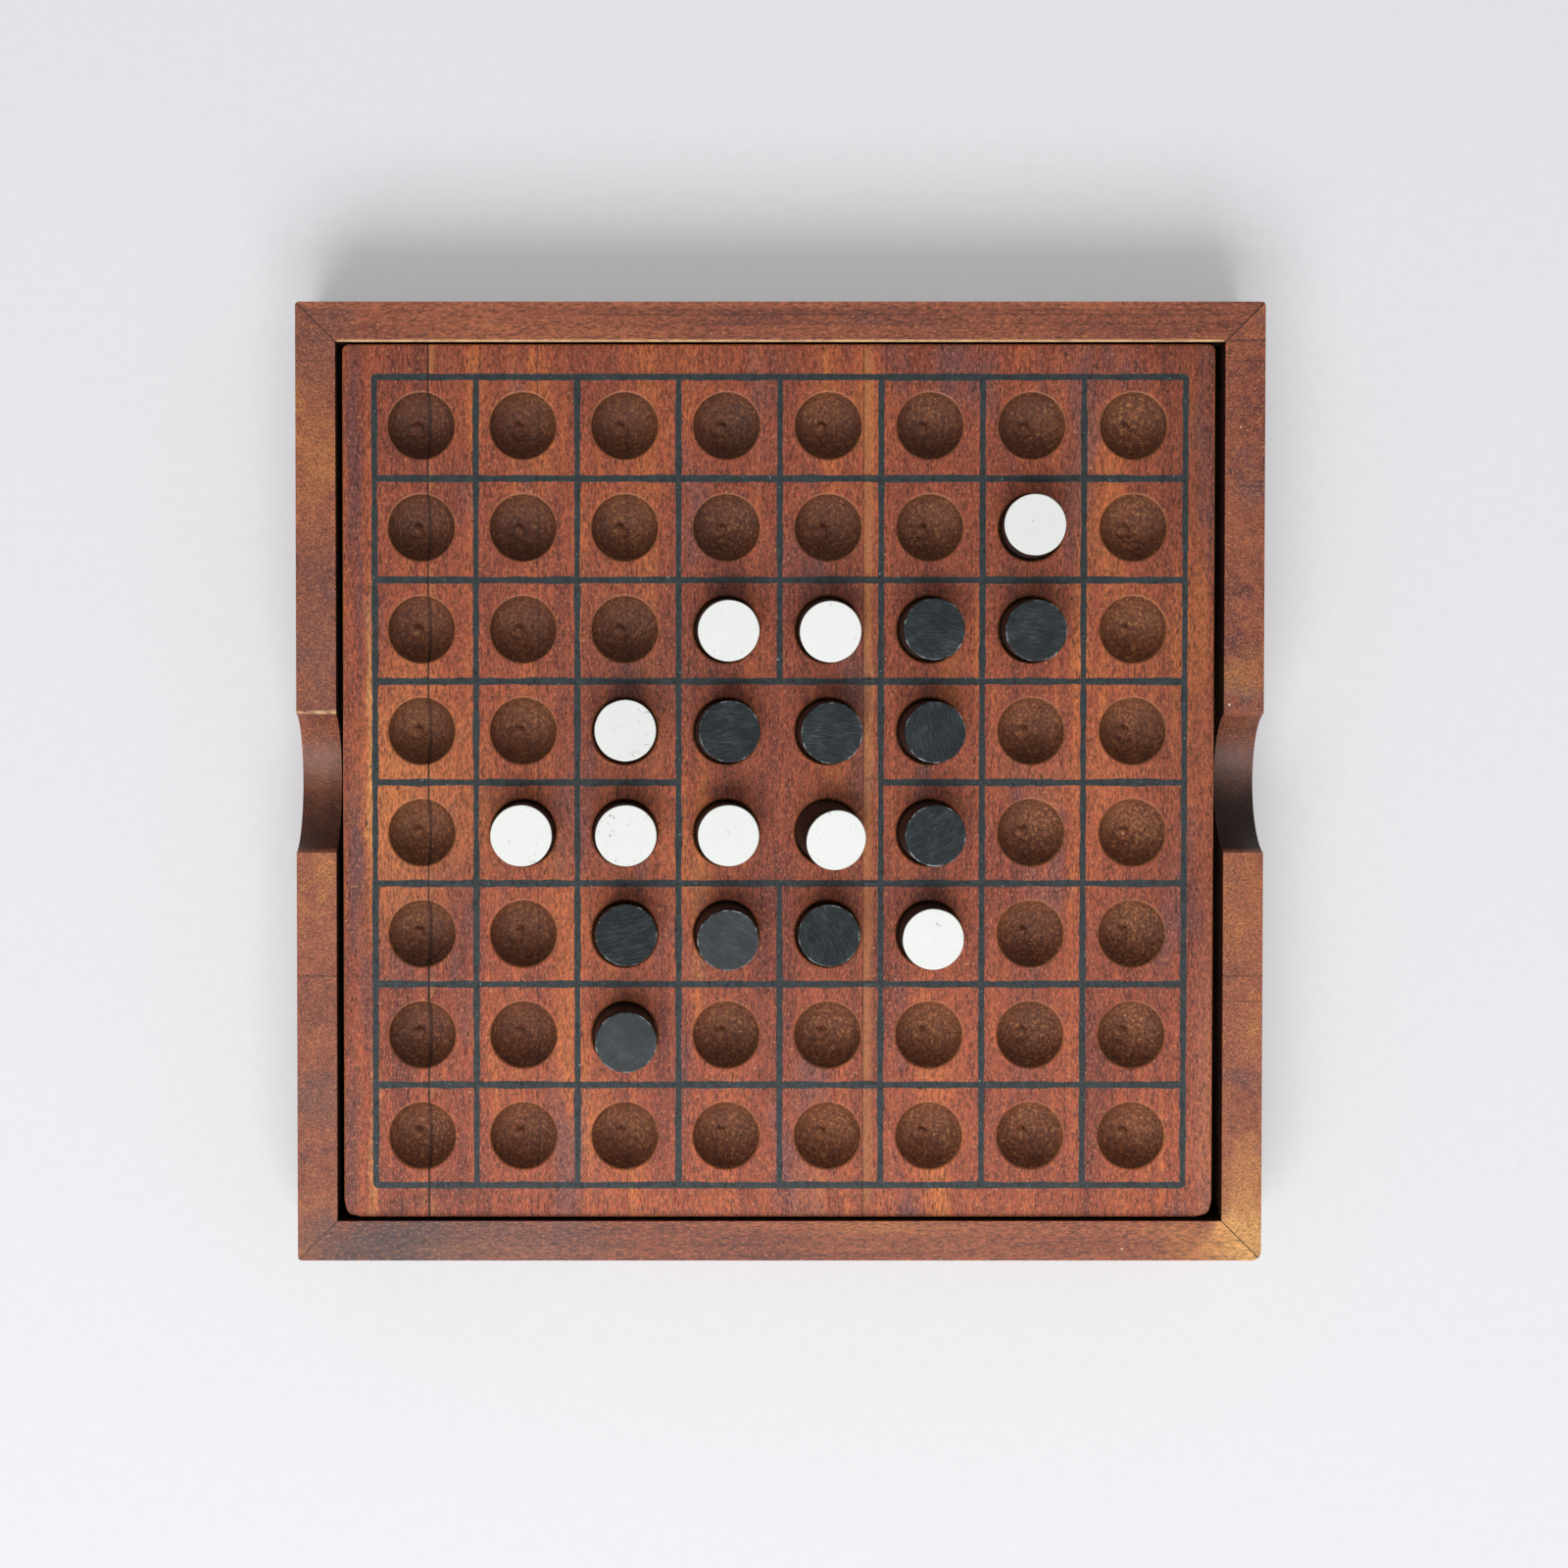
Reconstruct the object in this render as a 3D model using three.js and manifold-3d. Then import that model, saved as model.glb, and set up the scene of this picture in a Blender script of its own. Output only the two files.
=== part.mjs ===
// A small wooden game set: a square tray of four mitred rails, a lift-out board with 64 round-bottomed cups,
// 19 two-colour discs standing in the cups, and the 45 spare discs stored in the tray under the board.
// Millimetres, +Z up. The origin is at the middle of the tray's underside, and -Y is the player's side.

import * as THREE from 'three';
import { mergeVertices } from 'three/addons/utils/BufferGeometryUtils.js';
import Module from 'manifold-3d';

const wasm = await Module();
wasm.setup();

// ---------------------------------------------------------------- driving dimensions

// Tray
const TRAY_WIDTH = 190;
const TRAY_DEPTH = 188.6;
const TRAY_HEIGHT = 25;
const RAIL_WIDTH = 7.8;
const NOTCH_LENGTH = 27.4;
const NOTCH_DEPTH = 11;
const NOTCH_SIDES = 40;
const PANEL_THICKNESS = 3;
const REBATE_WIDTH = 4;
const CLEAT_WIDTH = 5;
const CLEAT_END_GAP = 4;

// Board
const BOARD_WIDTH = 171.5;
const BOARD_DEPTH = 172.2;
const BOARD_THICKNESS = 10;
const BOARD_RECESS = 1.5;
const BOARD_GAP_LEFT = 1.2;
const BOARD_GAP_BACK = 0.3;
const FRONT_CORNER_RADIUS = 3;
const BACK_CORNER_RADIUS = 1.3;
const SQUARE = 20;
const SQUARES_PER_SIDE = 8;
const GRID_SHIFT = -0.25;
const GRID_LIFT = 0.1;

// Glue lines between the board's three strips, measured from the middle of the nearest column of cups
const LEFT_SEAM_COLUMN = 0;
const LEFT_SEAM_OFFSET = 1.35;
const RIGHT_SEAM_COLUMN = 4;
const RIGHT_SEAM_OFFSET = 7;

// Cups and discs
const CUP_RIM_RADIUS = 6.65;
const CUP_DEPTH = 5.5;
const CUP_SIDES = 16;
const CUP_RINGS = 3;
const DISC_RADIUS = 6;
const DISC_HEIGHT = 9;
const DISC_ARRIS = 0.35;
const DISC_SIDES = 16;
const DISC_CLEARANCE = 0.25;

// Spare discs
const SPARE_ROWS = 9;
const SPARES_PER_ROW = 5;
const SPARE_SIDES = 12;
const SPARE_ROW_PITCH = 12.8;
const SPARE_MARGIN = 2;
const SPARE_OVERLAP = 0.1;

// The discs in play. Squares are lettered a to h from the left and numbered 1 to 8 from the back, and lean is
// how far the disc's top stands off the middle of its cup, in X and Y, because it can tip in the round cup.
const DISCS_IN_PLAY = [
  { square: 'g2', up: 'white', lean: [-0.2, 0.3] },
  { square: 'd3', up: 'white', lean: [0.3, -0.3] },
  { square: 'e3', up: 'white', lean: [0.1, -0.5] },
  { square: 'f3', up: 'black', lean: [0.3, 0] },
  { square: 'g3', up: 'black', lean: [0.1, -0.3] },
  { square: 'c4', up: 'white', lean: [0.2, 0.3] },
  { square: 'd4', up: 'black', lean: [0.5, 0.1] },
  { square: 'e4', up: 'black', lean: [0.4, -0.2] },
  { square: 'f4', up: 'black', lean: [0.5, -0.1] },
  { square: 'b5', up: 'white', lean: [-0.1, -0.2] },
  { square: 'c5', up: 'white', lean: [0.3, -0.2] },
  { square: 'd5', up: 'white', lean: [0.3, -0.2] },
  { square: 'e5', up: 'white', lean: [1.3, -1.1] },
  { square: 'f5', up: 'black', lean: [0.6, -0.2] },
  { square: 'c6', up: 'black', lean: [0.4, 0.4] },
  { square: 'd6', up: 'black', lean: [0.2, -0.6] },
  { square: 'e6', up: 'black', lean: [-0.1, 0.3] },
  { square: 'f6', up: 'white', lean: [0.2, -0.4] },
  { square: 'c7', up: 'black', lean: [0.3, -0.6] },
];

// ---------------------------------------------------------------- worked-out dimensions

const innerX = TRAY_WIDTH / 2 - RAIL_WIDTH;
const innerY = TRAY_DEPTH / 2 - RAIL_WIDTH;
const boardTop = TRAY_HEIGHT - BOARD_RECESS;
const boardBottom = boardTop - BOARD_THICKNESS;
const boardX = -innerX + BOARD_GAP_LEFT + BOARD_WIDTH / 2;
const boardY = innerY - BOARD_GAP_BACK - BOARD_DEPTH / 2;
const middleSquare = (SQUARES_PER_SIDE - 1) / 2;

// A cup is part of a ball that stands a little above the board's face, so its wall is steep at the rim.
const ballRadius = (CUP_RIM_RADIUS ** 2 + CUP_DEPTH ** 2) / (2 * CUP_DEPTH);
const ballHeight = ballRadius - CUP_DEPTH;

const columnX = (column) => boardX + GRID_SHIFT + (column - middleSquare) * SQUARE;
const rowY = (row) => boardY + GRID_LIFT + (middleSquare - row) * SQUARE;

// ---------------------------------------------------------------- materials

const paint = (color, roughness) => new THREE.MeshStandardMaterial({ color, roughness, metalness: 0 });

const materials = {
  railWood: paint(0x97533a, 0.55),
  boardWood: paint(0x9c5238, 0.6),
  orangeWood: paint(0xb06038, 0.6),
  plywood: paint(0xc9a06c, 0.75),
  whiteFace: paint(0xf3f5f2, 0.45),
  blackFace: paint(0x2e3438, 0.45),
};

// ---------------------------------------------------------------- solids

function toManifold(geometry) {
  const bare = geometry.clone();
  bare.deleteAttribute('normal');
  bare.deleteAttribute('uv');
  const merged = mergeVertices(bare, 1e-4);
  const vertProperties = new Float32Array(merged.attributes.position.array);
  const triVerts = new Uint32Array(merged.index.array);
  return new wasm.Manifold(new wasm.Mesh({ numProp: 3, vertProperties, triVerts }));
}

function toGeometry(solid) {
  const mesh = solid.getMesh();
  const geometry = new THREE.BufferGeometry();
  geometry.setAttribute('position', new THREE.BufferAttribute(mesh.vertProperties, 3));
  geometry.setIndex(new THREE.BufferAttribute(mesh.triVerts, 1));
  geometry.computeVertexNormals();
  return geometry;
}

function namedMesh(name, geometry, material) {
  const mesh = new THREE.Mesh(geometry, material);
  mesh.name = name;
  return mesh;
}

function boxBetween(low, high) {
  const size = new THREE.Vector3().subVectors(high, low);
  const middle = new THREE.Vector3().addVectors(low, high).multiplyScalar(0.5);
  return new THREE.BoxGeometry(size.x, size.y, size.z).translate(middle.x, middle.y, middle.z);
}

// ---------------------------------------------------------------- tray

// The part of the tray that the bottom panel fills: the opening between the rails and the rebate around it.
function panelGeometry() {
  const halfX = innerX + REBATE_WIDTH;
  const halfY = innerY + REBATE_WIDTH;
  return boxBetween(
    new THREE.Vector3(-halfX, -halfY, 0),
    new THREE.Vector3(halfX, halfY, PANEL_THICKNESS),
  );
}

// One rail seen from above: its outer edge, and its inner edge shortened by the 45 degree mitres.
function railOutline(side) {
  const outerX = TRAY_WIDTH / 2;
  const outerY = TRAY_DEPTH / 2;
  const corners = {
    front: [[-outerX, -outerY], [outerX, -outerY], [innerX, -innerY], [-innerX, -innerY]],
    back: [[outerX, outerY], [-outerX, outerY], [-innerX, innerY], [innerX, innerY]],
    left: [[-outerX, outerY], [-outerX, -outerY], [-innerX, -innerY], [-innerX, innerY]],
    right: [[outerX, -outerY], [outerX, outerY], [innerX, innerY], [innerX, -innerY]],
  };
  return new THREE.Shape(corners[side].map(([x, y]) => new THREE.Vector2(x, y)));
}

// The scoop that gives room for a finger under the board's edge, right through the rail.
function notchGeometry(railX) {
  const radius = ((NOTCH_LENGTH / 2) ** 2 + NOTCH_DEPTH ** 2) / (2 * NOTCH_DEPTH);
  const scoop = new THREE.CylinderGeometry(radius, radius, RAIL_WIDTH * 2, NOTCH_SIDES);
  scoop.rotateZ(Math.PI / 2);
  return scoop.translate(railX, 0, TRAY_HEIGHT - NOTCH_DEPTH + radius);
}

function rail(side) {
  const blank = new THREE.ExtrudeGeometry(railOutline(side), { depth: TRAY_HEIGHT, bevelEnabled: false });
  let solid = toManifold(blank).subtract(toManifold(panelGeometry()));
  const railX = { left: -TRAY_WIDTH / 2, right: TRAY_WIDTH / 2 }[side];
  if (railX !== undefined) {
    solid = solid.subtract(toManifold(notchGeometry(railX)));
  }
  return namedMesh(`rail_${side}`, toGeometry(solid), materials.railWood);
}

function cleat(side) {
  const direction = side === 'front' ? -1 : 1;
  const length = 2 * (innerX - CLEAT_END_GAP);
  const height = boardBottom - PANEL_THICKNESS;
  const mesh = namedMesh(`cleat_${side}`, new THREE.BoxGeometry(length, CLEAT_WIDTH, height), materials.plywood);
  mesh.position.set(0, direction * (innerY - CLEAT_WIDTH / 2), PANEL_THICKNESS + height / 2);
  return mesh;
}

function tray() {
  const group = new THREE.Group();
  for (const side of ['front', 'back', 'left', 'right']) {
    group.add(rail(side));
  }
  group.add(namedMesh('bottom_panel', panelGeometry(), materials.plywood));
  group.add(cleat('front'), cleat('back'));
  return group;
}

// ---------------------------------------------------------------- board

// The hollow of one cup, as a closed ball cap that also stands a little way above the board's face. Its flat
// facets lie just outside the true ball, so that a disc fits in it all round.
function cupGeometry() {
  const above = 1;
  const facetRadius = ballRadius / Math.cos(Math.PI / CUP_SIDES);
  const rimAngle = Math.asin(CUP_RIM_RADIUS / ballRadius);
  const profile = [new THREE.Vector2(0, ballHeight - ballRadius)];
  for (let ring = 1; ring <= CUP_RINGS; ring += 1) {
    const angle = (rimAngle * ring) / CUP_RINGS;
    const x = facetRadius * Math.sin(angle);
    profile.push(new THREE.Vector2(x, ballHeight - ballRadius * Math.cos(angle)));
  }
  const rimX = profile[CUP_RINGS].x;
  profile.push(new THREE.Vector2(rimX, above));
  profile.push(new THREE.Vector2(0, above));
  const cup = new THREE.LatheGeometry(profile, CUP_SIDES);
  return cup.rotateX(Math.PI / 2);
}

function allCups() {
  const cup = toManifold(cupGeometry());
  const cups = [];
  for (let row = 0; row < SQUARES_PER_SIDE; row += 1) {
    for (let column = 0; column < SQUARES_PER_SIDE; column += 1) {
      cups.push({ x: columnX(column), solid: cup.translate([columnX(column), rowY(row), boardTop]) });
    }
  }
  return cups;
}

// A strip's outline from above. Only the board's own four corners are rounded.
function stripOutline(left, right) {
  const front = boardY - BOARD_DEPTH / 2;
  const back = boardY + BOARD_DEPTH / 2;
  const boardLeft = boardX - BOARD_WIDTH / 2;
  const boardRight = boardX + BOARD_WIDTH / 2;
  const shape = new THREE.Shape();
  const quarter = Math.PI / 2;
  const corner = (x, y, radius, towardX, towardY, startAngle) => {
    if (radius === 0) {
      shape.lineTo(x, y);
    } else {
      shape.absarc(x + towardX * radius, y + towardY * radius, radius, startAngle, startAngle + quarter);
    }
  };
  const frontLeft = left === boardLeft ? FRONT_CORNER_RADIUS : 0;
  const frontRight = right === boardRight ? FRONT_CORNER_RADIUS : 0;
  const backLeft = left === boardLeft ? BACK_CORNER_RADIUS : 0;
  const backRight = right === boardRight ? BACK_CORNER_RADIUS : 0;
  shape.moveTo(left + frontLeft, front);
  corner(right, front, frontRight, -1, 1, -quarter);
  corner(right, back, backRight, -1, -1, 0);
  corner(left, back, backLeft, 1, -1, quarter);
  corner(left, front, frontLeft, 1, 1, 2 * quarter);
  return shape;
}

function boardStrip(name, left, right, cups, material) {
  const options = { depth: BOARD_THICKNESS, bevelEnabled: false, curveSegments: 4 };
  const blank = new THREE.ExtrudeGeometry(stripOutline(left, right), options);
  let solid = toManifold(blank.translate(0, 0, boardBottom));
  for (const cup of cups) {
    if (cup.x > left - SQUARE && cup.x < right + SQUARE) {
      solid = solid.subtract(cup.solid);
    }
  }
  return namedMesh(name, toGeometry(solid), material);
}

function board() {
  const group = new THREE.Group();
  const cups = allCups();
  const left = boardX - BOARD_WIDTH / 2;
  const right = boardX + BOARD_WIDTH / 2;
  const leftSeam = columnX(LEFT_SEAM_COLUMN) + LEFT_SEAM_OFFSET;
  const rightSeam = columnX(RIGHT_SEAM_COLUMN) + RIGHT_SEAM_OFFSET;
  group.add(boardStrip('board_strip_left', left, leftSeam, cups, materials.boardWood));
  group.add(boardStrip('board_strip_middle', leftSeam, rightSeam, cups, materials.boardWood));
  group.add(boardStrip('board_strip_right', rightSeam, right, cups, materials.orangeWood));
  return group;
}

// ---------------------------------------------------------------- discs

// A slice of dowel with both arrises taken off, standing on z = 0.
function discGeometry() {
  const profile = [
    new THREE.Vector2(0, 0),
    new THREE.Vector2(DISC_RADIUS - DISC_ARRIS, 0),
    new THREE.Vector2(DISC_RADIUS, DISC_ARRIS),
    new THREE.Vector2(DISC_RADIUS, DISC_HEIGHT - DISC_ARRIS),
    new THREE.Vector2(DISC_RADIUS - DISC_ARRIS, DISC_HEIGHT),
    new THREE.Vector2(0, DISC_HEIGHT),
  ];
  return new THREE.LatheGeometry(profile, DISC_SIDES).rotateX(Math.PI / 2);
}

// A disc stands with its lower edge on the cup's wall, so it tips about the middle of the cup's ball. The
// group is at that point, and the disc hangs below it by the depth at which its edge clears the wall.
function discInPlay({ square, up, lean }) {
  const column = square.charCodeAt(0) - 'a'.charCodeAt(0);
  const row = Number(square[1]) - 1;
  const restDrop = Math.sqrt(ballRadius ** 2 - DISC_RADIUS ** 2) - DISC_CLEARANCE;
  const topAboveBall = DISC_HEIGHT - restDrop;
  const leanLength = Math.hypot(lean[0], lean[1]);
  const tip = new THREE.Group();
  tip.position.set(columnX(column), rowY(row), boardTop + ballHeight);
  if (leanLength > 0) {
    const axis = new THREE.Vector3(-lean[1], lean[0], 0).normalize();
    tip.quaternion.setFromAxisAngle(axis, Math.asin(leanLength / topAboveBall));
  }
  const material = up === 'white' ? materials.whiteFace : materials.blackFace;
  const disc = namedMesh(`disc_${square}_${up}`, discGeometry(), material);
  disc.position.z = -restDrop;
  tip.add(disc);
  return tip;
}

// Spare discs stand side by side on the bottom panel. A row of touching discs is one solid.
function spareRow(number) {
  const pitch = 2 * DISC_RADIUS - SPARE_OVERLAP;
  const blank = new THREE.CylinderGeometry(DISC_RADIUS, DISC_RADIUS, DISC_HEIGHT, SPARE_SIDES);
  const disc = toManifold(blank.rotateX(Math.PI / 2));
  let solid = disc;
  for (let place = 1; place < SPARES_PER_ROW; place += 1) {
    solid = solid.add(disc.translate([place * pitch, 0, 0]));
  }
  const mesh = namedMesh(`spare_discs_row_${number}`, toGeometry(solid), materials.blackFace);
  const middleRow = (SPARE_ROWS + 1) / 2;
  mesh.position.set(
    -innerX + SPARE_MARGIN + DISC_RADIUS,
    (middleRow - number) * SPARE_ROW_PITCH,
    PANEL_THICKNESS + DISC_HEIGHT / 2,
  );
  return mesh;
}

// ---------------------------------------------------------------- whole set

const gameSet = new THREE.Group();
gameSet.add(tray());
gameSet.add(board());
for (const disc of DISCS_IN_PLAY) {
  gameSet.add(discInPlay(disc));
}
for (let number = 1; number <= SPARE_ROWS; number += 1) {
  gameSet.add(spareRow(number));
}

export default gameSet;
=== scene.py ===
"""Looks for a small wooden disc-flipping game: a mitred tray, a lift-out board of cups and two-colour discs.

Everything is in metres, in the CAD frame: +X along the squares a to h, +Y away from the player, +Z up.
"""

import math
import random

import bmesh
import bpy
from mathutils import Matrix, Vector, noise


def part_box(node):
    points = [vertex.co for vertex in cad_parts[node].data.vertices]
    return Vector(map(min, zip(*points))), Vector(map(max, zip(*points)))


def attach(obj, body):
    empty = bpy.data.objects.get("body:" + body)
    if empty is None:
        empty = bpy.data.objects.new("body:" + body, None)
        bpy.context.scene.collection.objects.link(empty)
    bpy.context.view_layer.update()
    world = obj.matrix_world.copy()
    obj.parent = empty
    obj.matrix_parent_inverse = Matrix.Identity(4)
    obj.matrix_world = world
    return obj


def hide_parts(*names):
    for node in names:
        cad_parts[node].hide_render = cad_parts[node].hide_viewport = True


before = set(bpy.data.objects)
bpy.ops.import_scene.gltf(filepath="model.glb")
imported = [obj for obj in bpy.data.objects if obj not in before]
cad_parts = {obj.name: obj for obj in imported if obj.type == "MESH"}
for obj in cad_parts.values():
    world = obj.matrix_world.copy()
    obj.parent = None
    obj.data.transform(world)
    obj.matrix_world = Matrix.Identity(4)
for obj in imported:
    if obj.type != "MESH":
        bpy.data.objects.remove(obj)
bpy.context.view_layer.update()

MM = 0.001

# ---------------------------------------------------------------- sizes that repeat the CAD design

SQUARE = 20 * MM
SQUARES_PER_SIDE = 8
GRID_SHIFT = Vector((-0.25 * MM, 0.1 * MM))
NOTCH_HALF_LENGTH = 13.7 * MM
NOTCH_DEPTH = 11 * MM
CUP_RIM_RADIUS = 6.65 * MM
CUP_DEPTH = 5.5 * MM
DISC_RADIUS = 6 * MM
DISC_HEIGHT = 9 * MM
FRONT_CORNER_RADIUS = 3 * MM
BACK_CORNER_RADIUS = 1.3 * MM

# The painted grid, which the CAD design doesn't have, is a little off the cups
LINE_PITCH = 19.92 * MM
LINE_SHIFT = Vector((0.5 * MM, -0.15 * MM))

# Places read from the frame
STRIPS = ("board_strip_left", "board_strip_middle", "board_strip_right")
strip_boxes = [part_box(name) for name in STRIPS]
board_low, board_high = Vector(strip_boxes[0][0]), Vector(strip_boxes[-1][1])
seams = [strip_boxes[0][1].x, strip_boxes[1][1].x]
board_top = board_high.z
grid_middle = (board_low.xy + board_high.xy) / 2 + GRID_SHIFT
line_middle = grid_middle + LINE_SHIFT
tray_low, tray_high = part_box("rail_front")[0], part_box("rail_back")[1]
rail_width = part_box("rail_front")[1].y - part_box("rail_front")[0].y


def square_middle(column, row):
    """The middle of a square. Columns count from the left, rows from the back."""
    middle = (SQUARES_PER_SIDE - 1) / 2
    return grid_middle + Vector(((column - middle) * SQUARE, (middle - row) * SQUARE))


# ---------------------------------------------------------------- building shaders


def rgb(text):
    """A hex colour as the linear colour that shaders work in."""
    channels = [int(text[i : i + 2], 16) / 255 for i in (1, 3, 5)]
    return (*[c / 12.92 if c <= 0.04045 else ((c + 0.055) / 1.055) ** 2.4 for c in channels], 1.0)


class Shader:
    """A material whose nodes are made by calls that each give back an output socket."""

    def __init__(self, name):
        self.material = bpy.data.materials.new(name)
        self.material.use_nodes = True
        self.tree = self.material.node_tree
        self.tree.nodes.clear()

    def node(self, kind, inputs, **settings):
        made = self.tree.nodes.new(kind)
        for key, value in settings.items():
            setattr(made, key, value)
        for key, value in inputs.items():
            if isinstance(value, bpy.types.NodeSocket):
                self.tree.links.new(value, made.inputs[key])
            else:
                made.inputs[key].default_value = value
        return made

    def position(self):
        return self.node("ShaderNodeTexCoord", {}).outputs["Object"]

    def attribute(self, name):
        return self.node("ShaderNodeAttribute", {}, attribute_name=name).outputs["Vector"]

    def axes(self, vector):
        return self.node("ShaderNodeSeparateXYZ", {0: vector}).outputs

    def math(self, operation, a, b=0.0, c=0.0):
        return self.node("ShaderNodeMath", {0: a, 1: b, 2: c}, operation=operation).outputs[0]

    def vector(self, operation, a, b=(0, 0, 0), c=(0, 0, 0)):
        made = self.node("ShaderNodeVectorMath", {0: a, 1: b, 2: c}, operation=operation)
        return made.outputs["Value" if operation == "LENGTH" else 0]

    def noise(self, vector, stretch, detail=2.0, roughness=0.5, offset=(0, 0, 0)):
        """Noise with its own features per metre along each axis."""
        place = self.vector("MULTIPLY_ADD", vector, stretch, offset)
        inputs = {"Vector": place, "Scale": 1.0, "Detail": detail, "Roughness": roughness}
        return self.node("ShaderNodeTexNoise", inputs).outputs["Fac"]

    def fade(self, value, start, end):
        """0 at start and 1 at end, smooth between. Start may be the larger."""
        inputs = {"Value": value, "From Min": start, "From Max": end}
        return self.node("ShaderNodeMapRange", inputs, interpolation_type="SMOOTHSTEP").outputs["Result"]

    def scale(self, value, start, end, low, high):
        inputs = {"Value": value, "From Min": start, "From Max": end, "To Min": low, "To Max": high}
        return self.node("ShaderNodeMapRange", inputs).outputs["Result"]

    def mix(self, factor, a, b, blend="MIX"):
        """Mixes two colours. A colour mix has its inputs at 6 and 7 and its result at 2."""
        made = self.node("ShaderNodeMix", {0: factor, 6: a, 7: b}, data_type="RGBA", blend_type=blend)
        return made.outputs[2]

    def times(self, color, factor):
        grey = self.node("ShaderNodeCombineColor", {0: factor, 1: factor, 2: factor}).outputs[0]
        return self.mix(1.0, color, grey, blend="MULTIPLY")

    def ramp(self, factor, stops):
        made = self.node("ShaderNodeValToRGB", {"Fac": factor})
        elements = made.color_ramp.elements
        while len(elements) < len(stops):
            elements.new(1.0)
        for element, (place, color) in zip(elements, stops):
            element.position = place
            element.color = rgb(color)
        return made.outputs["Color"]

    def ellipse(self, place, centre, radii, softness=0.5):
        """1 inside an ellipse seen from above and 0 outside it."""
        offset = self.vector("SUBTRACT", place, (centre[0], centre[1], 0))
        scaled = self.vector("MULTIPLY", offset, (1 / radii[0], 1 / radii[1], 0))
        return self.fade(self.vector("LENGTH", scaled), 1 + softness, 1 - softness)

    def bump(self, height, distance, strength=1.0):
        inputs = {"Height": height, "Distance": distance, "Strength": strength}
        return self.node("ShaderNodeBump", inputs).outputs["Normal"]

    def finish(self, color, roughness, normal, specular=0.3):
        inputs = {"Base Color": color, "Roughness": roughness, "Normal": normal}
        surface = self.node("ShaderNodeBsdfPrincipled", inputs)
        surface.inputs["Specular IOR Level"].default_value = specular
        output = self.node("ShaderNodeOutputMaterial", {"Surface": surface.outputs["BSDF"]})
        output.is_active_output = True
        return self.material


# ---------------------------------------------------------------- wood


def along(direction, fine, long):
    """Features per metre for a grain that runs along an axis: fine across it and long along it."""
    return tuple(long if axis == direction else fine for axis in "xyz")


def stained_wood(shader, place, grain, tones, spots=(), pore_strength=0.55, smear_strength=0.55):
    """Stained wood: slow patches, growth bands, fibres and pores. Returns its colour and its relief."""
    patches = shader.noise(place, along(grain, 55, 16), detail=3, roughness=0.6)
    bands = shader.noise(place, along(grain, 420, 9), detail=3, roughness=0.6)
    tone = shader.math("MULTIPLY_ADD", bands, 0.42, shader.math("MULTIPLY", patches, 0.6))
    color = shader.ramp(tone, tones)

    smear = shader.noise(place, along(grain, 75, 20), detail=3, roughness=0.6, offset=(3, 8, 1))
    smear_mask = shader.fade(smear, 0.55, 0.7)
    color = shader.mix(shader.math("MULTIPLY", smear_mask, smear_strength), color, rgb(STAIN_SMEAR))
    color = stain_spots(shader, place, color, spots)

    fibres = shader.noise(place, along(grain, 2700, 850), detail=2, roughness=0.7)
    color = shader.times(color, shader.scale(fibres, 0.3, 0.7, 0.36, 1.68))
    glints = shader.noise(place, along(grain, 2600, 1300), detail=1, roughness=0.6, offset=(2, 5, 9))
    color = shader.mix(shader.math("MULTIPLY", shader.fade(glints, 0.58, 0.7), 0.55), color, rgb(FIBRE_GLINT))
    pores = shader.noise(place, along(grain, 3000, 420), detail=1, offset=(7, 3, 5))
    pore_mask = shader.fade(pores, 0.64, 0.74)
    color = shader.mix(shader.math("MULTIPLY", pore_mask, pore_strength), color, rgb(PORE))
    relief = shader.math("SUBTRACT", fibres, shader.math("MULTIPLY", pore_mask, 0.6))
    return color, relief


STAIN_SMEAR = "#5b3f44"
FIBRE_GLINT = "#c98352"
PORE = "#321915"
CUP_TONES = ((0.34, "#1b0e09"), (0.45, "#3f2517"), (0.56, "#653c24"), (0.68, "#ab7c4d"))
BOARD_TONES = ((0.36, "#6e2f22"), (0.45, "#883e28"), (0.54, "#9b4a2b"), (0.66, "#b4622f"))
PLYWOOD_TONES = ((0.36, "#b58f63"), (0.5, "#c7a273"), (0.66, "#d4b385"))
RAIL_TONES = ((0.36, "#653229"), (0.45, "#84452f"), (0.55, "#935034"), (0.68, "#aa6a36"))


def stain_spots(shader, place, color, spots):
    """Places where the stain took more or less, each an uneven ellipse. Middle and radii in millimetres."""
    wobble = shader.noise(place, (110, 70, 110), detail=3, roughness=0.6, offset=(4, 4, 4))
    shift = shader.scale(wobble, 0.3, 0.7, -5 * MM, 5 * MM)
    sideways = shader.math("MULTIPLY", shift, 0.15)
    offset = shader.node("ShaderNodeCombineXYZ", {0: sideways, 1: shift}).outputs[0]
    uneven = shader.vector("ADD", place, offset)
    for (x, y), (radius_x, radius_y), strength, tone in spots:
        mask = shader.ellipse(uneven, (x * MM, y * MM), (radius_x * MM, radius_y * MM), softness=0.7)
        color = shader.mix(shader.math("MULTIPLY", mask, strength), color, rgb(tone))
    return color


def dark_lines(shader, across_axis, lines, wander):
    """Mask of thin dark lines across one axis: each its place, half width and strength, in millimetres."""
    masks = []
    for at, half_width, strength in lines:
        distance = shader.math("ABSOLUTE", shader.math("SUBTRACT", across_axis, at * MM))
        mask = shader.fade(shader.math("ADD", distance, wander), 1.5 * half_width * MM, 0.4 * half_width * MM)
        masks.append(shader.math("MULTIPLY", mask, strength))
    total = masks[0]
    for mask in masks[1:]:
        total = shader.math("MAXIMUM", total, mask)
    return total


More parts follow.
